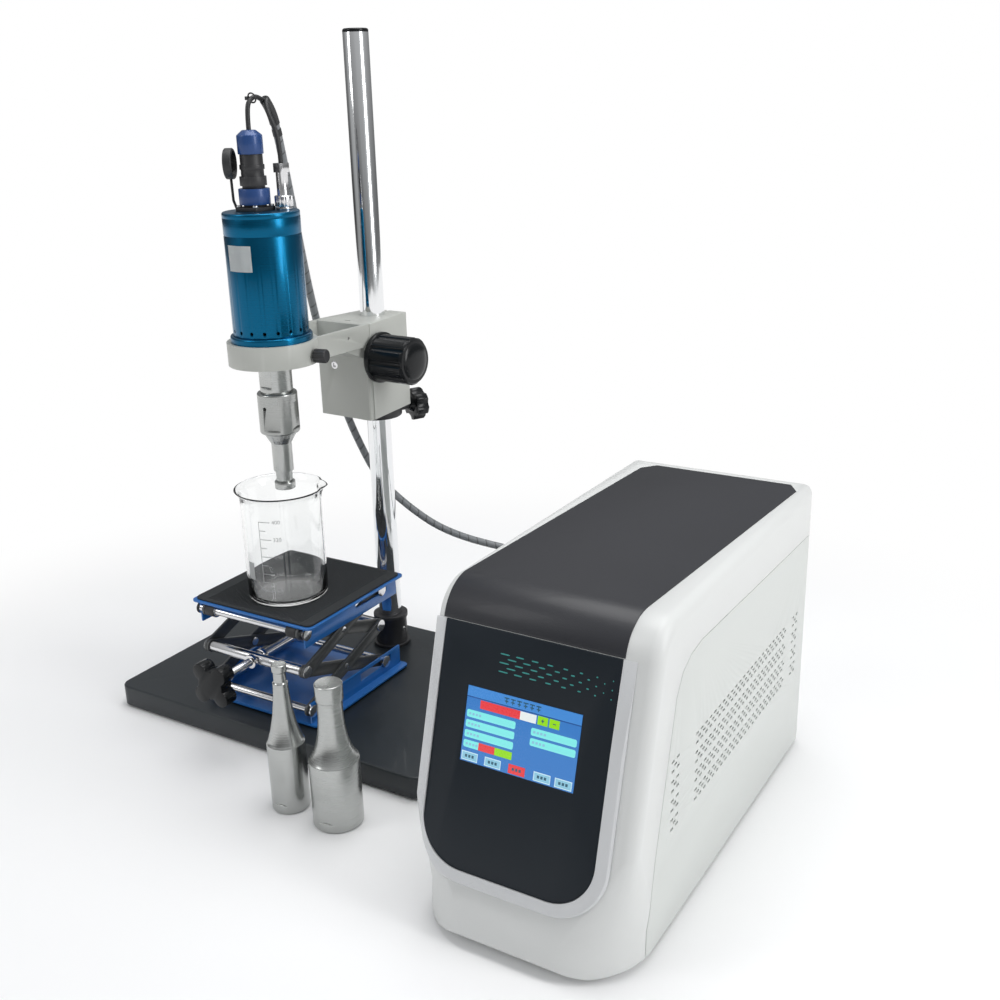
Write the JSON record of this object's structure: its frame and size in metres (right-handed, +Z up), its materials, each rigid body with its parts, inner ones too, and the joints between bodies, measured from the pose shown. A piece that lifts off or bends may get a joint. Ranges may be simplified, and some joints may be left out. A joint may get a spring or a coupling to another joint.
{
  "type": "ultrasonic extractor",
  "caption": "Bench ultrasonic extractor: focus stand with clamped transducer and horn over a beaker on a lab jack, spare horns and a touch-screen generator linked by a cable bundle.",
  "frame": {"origin": "centre of the whole set's footprint, cords left out, at table level", "axes": "+X to the right and +Y to the back as seen from the generator's front panel, +Z up along the column"},
  "size_m": [0.653, 0.4837, 0.6715],
  "materials": {
    "board_black": "satin",
    "rubber_black": "matt",
    "chrome_tube": "polished",
    "steel": "satin",
    "black_plastic": "gloss",
    "black_metal": "satin",
    "arm_grey": "satin",
    "blue_anodised": "satin",
    "ceramic": "matt",
    "brass": "satin",
    "plug_blue": "gloss",
    "jack_blue": "gloss",
    "link_grey": "satin",
    "beaker_glass": "clear",
    "cord_grey": "matt",
    "case_grey": "satin",
    "cover_white": "satin",
    "sheet_dark": "satin",
    "panel_dark": "satin",
    "rim_grey": "satin",
    "screen_blue": "gloss",
    "board_green": "satin"
  },
  "bodies": {
    "base": {"base_board": "board_black", "rubber_feet": "rubber_black", "stand_screws": "steel", "column": "chrome_tube", "column_cap": "black_plastic", "column_socket": "black_metal", "jack_base_set": "jack_blue", "gen_casing": "case_grey", "gen_cover": "cover_white", "top_sheet": "sheet_dark", "front_panel": "panel_dark", "touch_screen": "screen_blue", "trim_rim": "rim_grey", "rear_panel": "case_grey", "rear_fittings": "black_plastic", "gen_internals": "board_green", "bundle_tail": "cord_grey"},
    "collar": {"safety_collar": "black_metal", "bundle_drop": "cord_grey"},
    "collar_knob_body": {"collar_knob": "black_plastic"},
    "block": {"clamp_block": "arm_grey"},
    "focus_drive": {"pinion_shaft": "steel", "focus_knob": "black_plastic"},
    "head": {"focus_arm": "arm_grey", "focus_rack": "brass", "head_screws": "steel", "transducer_flange": "blue_anodised", "transducer_shell": "blue_anodised", "transducer_cap": "blue_anodised", "front_mass": "steel", "piezo_rings": "ceramic", "electrodes": "brass", "back_mass": "steel", "stack_bolts": "steel", "coupling_sleeve": "steel", "horn": "steel", "horn_tip": "steel", "power_connector": "black_plastic", "connector_nuts": "plug_blue", "dust_cap_set": "rubber_black", "signal_connector": "chrome_tube", "transducer_leads": "cord_grey", "bundle_head": "cord_grey"},
    "thumb": {"thumb_screw": "black_metal"},
    "links_low_a": {"lower_links_a": "link_grey"},
    "links_low_b": {"lower_links_b": "link_grey"},
    "links_up_a": {"upper_links_a": "link_grey"},
    "links_up_b": {"upper_links_b": "link_grey"},
    "platform": {"jack_platform": "jack_blue", "jack_mat": "rubber_black", "top_front_rod_set": "black_plastic"},
    "front_rod": {"front_screw_rod": "steel"},
    "rear_rod": {"rear_nut_rod": "steel"},
    "jack_drive": {"jack_screw": "steel", "jack_knob": "black_plastic"},
    "beaker_body": {"beaker": "beaker_glass"},
    "slim_horn": {"spare_horn_slim": "steel"},
    "wide_horn": {"spare_horn_wide": "steel"},
    "rocker": {"power_rocker": "black_plastic"},
    "fan": {"fan_rotor": "black_plastic"}
  },
  "joints": [
    {"name": "collar_slide", "type": "slide", "parent": "base", "child": "collar", "axis": [0, 0, 1], "range_m": [-0.02, 0.2], "deforming": ["bundle_drop"]},
    {"name": "collar_clamp", "type": "hinge", "parent": "collar", "child": "collar_knob_body", "pos_m": [-0.11147, 0.18919, 0.295], "axis": [0.4258, 0.9048, 0], "range_deg": [0, 360]},
    {"name": "block_swivel", "type": "hinge", "parent": "collar", "child": "block", "pos_m": [-0.1285, 0.153, 0.34], "axis": [0, 0, 1], "range_deg": [-30, 30]},
    {"name": "arm_focus", "type": "slide", "parent": "block", "child": "head", "axis": [0, 0, 1], "range_m": [-0.022, 0.022]},
    {"name": "focus_knob_spin", "type": "hinge", "parent": "block", "child": "focus_drive", "pos_m": [-0.13045, 0.11805, 0.3627], "axis": [0.9984, -0.0558, 0], "range_deg": [-240, 240]},
    {"name": "thumb_turn", "type": "hinge", "parent": "head", "child": "thumb", "pos_m": [-0.09356, 0.01663, 0.384], "axis": [0.9789, 0.2045, 0], "range_deg": [0, 360]},
    {"name": "jack_lift", "type": "hinge", "parent": "base", "child": "links_low_a", "pos_m": [-0.1532, -0.0385, 0.0415], "axis": [1, 0, 0], "range_deg": [-10, 29]},
    {"name": "lower_scissor", "type": "hinge", "parent": "links_low_a", "child": "links_low_b", "pos_m": [-0.1532, 0.02154, 0.06217], "axis": [1, 0, 0], "range_deg": [-58, 20]},
    {"name": "upper_knee", "type": "hinge", "parent": "links_low_a", "child": "links_up_a", "pos_m": [-0.1532, 0.08158, 0.08285], "axis": [1, 0, 0], "range_deg": [-58, 20]},
    {"name": "upper_scissor", "type": "hinge", "parent": "links_up_a", "child": "links_up_b", "pos_m": [-0.1532, 0.02154, 0.10352], "axis": [1, 0, 0], "range_deg": [-20, 58]},
    {"name": "platform_pivot", "type": "hinge", "parent": "links_up_a", "child": "platform", "pos_m": [-0.1532, -0.0385, 0.12419], "axis": [1, 0, 0], "range_deg": [-10, 29]},
    {"name": "front_rod_pivot", "type": "hinge", "parent": "links_low_b", "child": "front_rod", "pos_m": [-0.1532, -0.0385, 0.08285], "axis": [1, 0, 0], "range_deg": [-10, 29]},
    {"name": "rear_rod_pivot", "type": "hinge", "parent": "links_low_a", "child": "rear_rod", "pos_m": [-0.1532, 0.08158, 0.08285], "axis": [1, 0, 0], "range_deg": [-29, 10]},
    {"name": "jack_screw_spin", "type": "hinge", "parent": "front_rod", "child": "jack_drive", "pos_m": [-0.1532, -0.087, 0.08285], "axis": [0, 1, 0], "range_deg": [-1245, 3605]},
    {"name": "beaker_lift", "type": "slide", "parent": "platform", "child": "beaker_body", "axis": [0, 0, 1], "range_m": [0, 0.08]},
    {"name": "slim_horn_lift", "type": "slide", "parent": "base", "child": "slim_horn", "axis": [0, 0, 1], "range_m": [0, 0.1]},
    {"name": "wide_horn_lift", "type": "slide", "parent": "base", "child": "wide_horn", "axis": [0, 0, 1], "range_m": [0, 0.1]},
    {"name": "power_switch", "type": "hinge", "parent": "base", "child": "rocker", "pos_m": [0.2845, 0.194, 0.11], "axis": [1, 0, 0], "range_deg": [-12, 0]},
    {"name": "fan_spin", "type": "hinge", "parent": "base", "child": "fan", "pos_m": [0.1975, 0.186, 0.146], "axis": [0, 1, 0], "continuous": true}
  ],
  "couplings": [
    {"joint": "focus_knob_spin", "follows": "arm_focus", "rad_per_m": -166.67},
    {"joint": "lower_scissor", "follows": "jack_lift", "ratio": -2},
    {"joint": "upper_knee", "follows": "jack_lift", "ratio": -2},
    {"joint": "upper_scissor", "follows": "jack_lift", "ratio": 2},
    {"joint": "platform_pivot", "follows": "jack_lift", "ratio": 1},
    {"joint": "front_rod_pivot", "follows": "jack_lift", "ratio": 1},
    {"joint": "rear_rod_pivot", "follows": "jack_lift", "ratio": -1},
    {"joint": "jack_screw_spin", "follows": "jack_lift", "ratio": 124}
  ]
}
